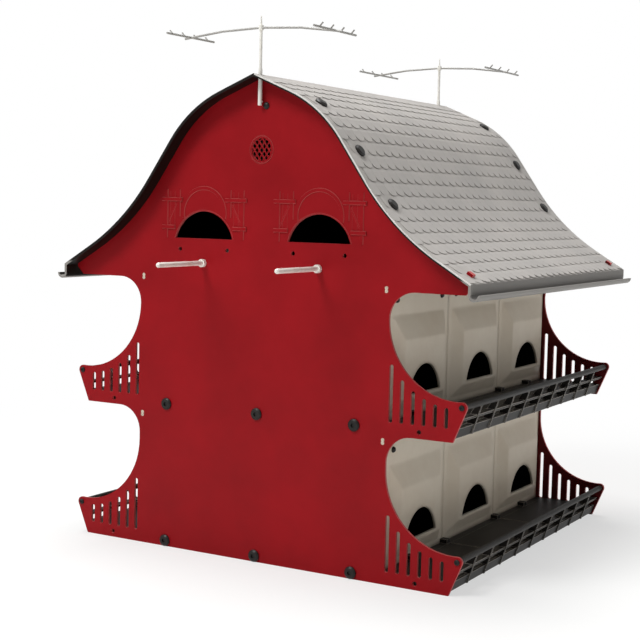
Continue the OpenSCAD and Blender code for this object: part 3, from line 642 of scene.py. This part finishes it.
def vent_bars(slant, width, front, back):
    """Bars of one layer: chords of the ring's inside, a step apart, running down as slant says."""
    along = np.array([slant * BAR_STEP / 2, -BAR_RISE])
    along /= np.linalg.norm(along)
    across = np.array([-along[1], along[0]])
    reach = VENT_R - RING_W / 2
    offset = (np.arange(BARS) - (BARS - 1) / 2) * BAR_STEP * abs(across[0])
    offset = offset[np.abs(offset) < reach - width]
    half = np.sqrt(reach ** 2 - offset ** 2)
    ends = np.stack([-half, half], 1)
    corner = np.array([[-1, front], [1, front], [1, back], [-1, back]])
    flat = (across * (offset[:, None, None, None] + corner[None, :, None, :1] * width / 2)
            + along * ends[:, None, :, None])
    depth = np.broadcast_to(corner[None, :, None, 1:], (*flat.shape[:3], 1))
    return np.concatenate([flat, depth], -1).reshape(-1, 3), repeated(ring_quads(4, 2), 8, len(offset))


print("bars in a layer:", [len(vent_bars(*layer)[0]) // 8 for layer in LAYERS])

# %% Ring and grille


def vent_ring(around=64):
    """A ring of square section turned about the vent's middle, as (x, z, depth) points."""
    a = np.linspace(0, 2 * np.pi, around, endpoint=False)
    section = np.array([[VENT_R, 0], [VENT_R - RING_W, 0], [VENT_R - RING_W, WALL_T], [VENT_R, WALL_T]])
    points = np.stack([np.outer(section[:, 0], np.cos(a)), np.outer(section[:, 0], np.sin(a)),
                       np.repeat(section[:, 1:], around, 1)], -1)
    return points.reshape(-1, 3), ring_quads(4, around, closed=True)


def vent_grille(end):
    """Ring and bars set into one end wall."""
    parts = [vent_ring()] + [vent_bars(*layer) for layer in LAYERS]
    starts = np.cumsum([0] + [len(points) for points, _ in parts[:-1]])
    points = np.concatenate([points for points, _ in parts])
    quads = np.concatenate([quads + start for (_, quads), start in zip(parts, starts)])
    placed = np.stack([-end * points[:, 0], end * (HOUSE_HALF - points[:, 2]), VENT_Z + points[:, 1]], 1)
    return placed, quads


for end, name, node in ((-1, "front_vent_grille", "front_vent"), (1, "rear_vent_grille", "rear_vent")):
    piece = make_piece(name, *vent_grille(end), red_polypropylene, "red_plastic")
    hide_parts(node)

# %% [markdown]
# ## Turn buttons
# Each room front is held near its upper corners by two black turn buttons. A squashed sphere would do
# from afar, but a profile turned about its own axis gives the flat dome with its short straight foot.

# %% Buttons on the room fronts
FRONT_X, ROOM_PITCH, STOREY = 157.0, 148.0, 158.0
BUTTON_R, BUTTON_H, BUTTON_Z, BUTTON_Y = 3.4, 3.2, 139.5, 55.0
DOME_SUNK, DOME_TOP = 0.5, 0.96 * math.pi / 2


def dome(radius, height, rings=5, around=20):
    """A dome on x = 0 rising along x: radius r cos(t), height h sin(t), with strips across both ends.

    Strip k of an end joins the corners k and k + 1 to their mirror images across the ring.
    """
    t = np.linspace(0, DOME_TOP, rings)
    r = np.concatenate([[radius], radius * np.cos(t)])
    x = np.concatenate([[-DOME_SUNK], height * np.sin(t)])
    a = np.linspace(0, 2 * np.pi, around, endpoint=False)
    rim_y, rim_z = np.outer(r, np.cos(a)), np.outer(r, np.sin(a))
    points = np.stack([np.repeat(x, around), rim_y.ravel(), rim_z.ravel()], 1)
    i, j = np.meshgrid(np.arange(rings), np.arange(around), indexing="ij")
    on = (j + 1) % around
    wall = np.stack([i * around + j, i * around + on, (i + 1) * around + on, (i + 1) * around + j], -1)
    k = np.arange(around // 2 - 1)
    strips = np.stack([k, k + 1, around - 2 - k, around - 1 - k], 1)
    return points, np.concatenate([wall.reshape(-1, 4), strips[:, ::-1], strips + rings * around])


def button_set(side):
    """Two domes on each of the six room fronts of one side."""
    head, quads = dome(BUTTON_R, BUTTON_H)
    places = np.array([(FRONT_X, room * ROOM_PITCH + hand * BUTTON_Y, storey + BUTTON_Z)
                       for storey in (0, STOREY) for room in (-1, 0, 1) for hand in (-1, 1)])
    points = (head[None] + places[:, None]).reshape(-1, 3) * [side, 1, 1]
    faces = repeated(quads, len(head), len(places))
    return points, faces if side > 0 else faces[:, ::-1]


for side, name in ((1, "right_turn_buttons"), (-1, "left_turn_buttons")):
    make_piece(name, *button_set(side), black_nylon, "black_plastic", smooth=True)

# %% [markdown]
# ## Mast bolts
# Beside the foot of each mast a round bolt head holds its clip to the end wall. It is the same dome as
# the buttons, turned to look out of the wall.

# %% A bolt at each mast foot
BOLT_R, BOLT_H, BOLT_X, BOLT_Z = 4.0, 2.0, 5.5, 499.0
for end, name in ((-1, "front_mast_bolt"), (1, "rear_mast_bolt")):
    head, quads = dome(BOLT_R, BOLT_H)
    out, across, rise = head.T
    turned = np.stack([-end * (across + BOLT_X), end * (HOUSE_HALF + out), rise + BOLT_Z], 1)
    make_piece(name, turned, quads, black_nylon, "black_plastic", smooth=True)

# %% [markdown]
# ## Deck panels
# Each porch has three loose panels, one before each room, which lift out with the room for cleaning.
# Lines in the material could mark their joints, but would not catch the light. So they lie on the
# tray as low plates with a small chamfer, and the gaps between them show as lines.

# %% Deck panels of both porches
DECK_X, DECK_Z, DECK_T, DECK_GAP = (167.5, 231.0), 13.5, 0.9, 2.4
# Inset and height of the foot, of the chamfer's lower edge and of the top.
DECK_RINGS = ((0, -0.3), (0, DECK_T - 0.5), (0.6, DECK_T))


def deck_panels(side):
    """Plates of one side: three rings of four corners each, the top ring drawn in by the chamfer."""
    corner = np.array([[-1, -1], [1, -1], [1, 1], [-1, 1]]) / 2
    size = np.array([DECK_X[1] - DECK_X[0], ROOM_PITCH - DECK_GAP])
    plate = np.concatenate([np.c_[corner * (size - 2 * inset), np.full(4, z)] for inset, z in DECK_RINGS])
    i, j = np.meshgrid(np.arange(2), np.arange(4), indexing="ij")
    on = (j + 1) % 4
    wall = np.stack([i * 4 + j, i * 4 + on, (i + 1) * 4 + on, (i + 1) * 4 + j], -1).reshape(-1, 4)
    quads = np.concatenate([wall, [[3, 2, 1, 0], [8, 9, 10, 11]]])
    places = np.array([((DECK_X[0] + DECK_X[1]) / 2, room * ROOM_PITCH, storey + DECK_Z)
                       for storey in (0, STOREY) for room in (-1, 0, 1)])
    points = (plate[None] + places[:, None]).reshape(-1, 3) * [side, 1, 1]
    faces = repeated(quads, len(plate), len(places))
    return points, faces if side > 0 else faces[:, ::-1]


for side, name in ((1, "right_deck_panels"), (-1, "left_deck_panels")):
    make_piece(name, *deck_panels(side), black_regrind, "black_plastic")

# %% [markdown]
# ## Studio
# The object stands on a pale floor in an all white room. Strong lamps could make them white, but would
# bleach the house too. So floor and room look white only to the camera and in reflections, and light
# the house at a plain level. Close to the house the floor is paper that takes the shadow; further
# out it fades to the white of the room.

# %% Paper floor
FLOOR_HALF = 12.0
FADE_FROM, FADE_TO, NEAR_GLOW = 0.42, 1.1, 0.6
WHITE = (1, 1, 1, 1)
corner = np.array([[-1, -1, 0], [1, -1, 0], [1, 1, 0], [-1, 1, 0]]) * FLOOR_HALF
floor_mesh = bpy.data.meshes.new("floor")
floor_mesh.from_pydata(corner.tolist(), [], [(0, 1, 2, 3)])
floor = bpy.data.objects.new("floor", floor_mesh)
bpy.context.scene.collection.objects.link(floor)
paper = new_material("white_paper_floor")
floor_mesh.materials.append(paper)
spot = add(paper, "ShaderNodeTexCoord")["Object"]
away = add(paper, "ShaderNodeVectorMath", {"operation": "LENGTH"}, {0: spot})["Value"]
spread = {"interpolation_type": "SMOOTHSTEP",
          "From Min": FADE_FROM, "From Max": FADE_TO, "To Min": NEAR_GLOW}
fade = add(paper, "ShaderNodeMapRange", spread, {"Value": away})["Result"]
rays = add(paper, "ShaderNodeLightPath")
direct = {0: rays["Is Camera Ray"], 1: rays["Is Transmission Ray"]}
seen = add(paper, "ShaderNodeMath", MAXIMUM, direct)["Value"]
seen = add(paper, "ShaderNodeMath", MAXIMUM, {0: seen, 1: rays["Is Glossy Ray"]})["Value"]
glow = add(paper, "ShaderNodeMath", MULTIPLY, {0: fade, 1: seen})["Value"]
matte = add(paper, "ShaderNodeBsdfDiffuse", {"Color": linear("#F6F6F4")})["BSDF"]
white = add(paper, "ShaderNodeEmission", {"Color": WHITE, "Strength": 1.0})["Emission"]
both = add(paper, "ShaderNodeMixShader", links={0: glow, 1: matte, 2: white})["Shader"]
add(paper, "ShaderNodeOutputMaterial", links={"Surface": both})
print("floor half width m:", FLOOR_HALF)

# %% White room
ROOM_LIGHT, ROOM_GLOSS = 0.11, 0.45
world = bpy.data.worlds.new("white_room")
world.use_nodes = True
world.node_tree.nodes.clear()
bpy.context.scene.world = world
rays = add(world, "ShaderNodeLightPath")
direct = {0: rays["Is Camera Ray"], 1: rays["Is Transmission Ray"]}
seen = add(world, "ShaderNodeMath", MAXIMUM, direct)["Value"]
plain = add(world, "ShaderNodeMapRange", {"To Min": ROOM_LIGHT}, {"Value": seen})["Result"]
strength = add(world, "ShaderNodeMath", {"operation": "MULTIPLY_ADD", 1: ROOM_GLOSS},
               {0: rays["Is Glossy Ray"], 2: plain})["Value"]
air = add(world, "ShaderNodeBackground", {"Color": WHITE}, {"Strength": strength})["Background"]
add(world, "ShaderNodeOutputWorld", links={"Surface": air})
print("room light:", ROOM_LIGHT, "in reflections:", ROOM_LIGHT + ROOM_GLOSS)

# %% Soft lamps
# Place and aim in metres, size in metres, power in watts.
LAMPS = {"key": ((-0.6, -1.5, 2.0), (0, 0, 0.3), 0.8, 31),
         "fill": ((2.6, 0.6, 0.5), (0, 0, 0.1), 1.2, 6),
         "top": ((-0.4, 0.2, 3.2), (0, 0, 0.4), 1.6, 88)}


def soft_lamp(name, place, aim, size, power):
    """A square area lamp at place, turned to face aim."""
    data = bpy.data.lights.new(name, "AREA")
    data.size = size
    data.energy = power
    lamp = bpy.data.objects.new(name, data)
    bpy.context.scene.collection.objects.link(lamp)
    back = np.array(place, float) - np.array(aim, float)
    back /= np.linalg.norm(back)
    side = np.cross([0, 0, 1.0], back)
    side /= np.linalg.norm(side)
    axes = np.stack([side, np.cross(back, side), back], 1)
    lamp.matrix_world = Matrix.Translation(place) @ Matrix(axes.tolist()).to_4x4()


for name, values in LAMPS.items():
    soft_lamp(name, *values)
bpy.context.scene.view_settings.view_transform = "Standard"
print("lamps:", {name: values[-1] for name, values in LAMPS.items()})
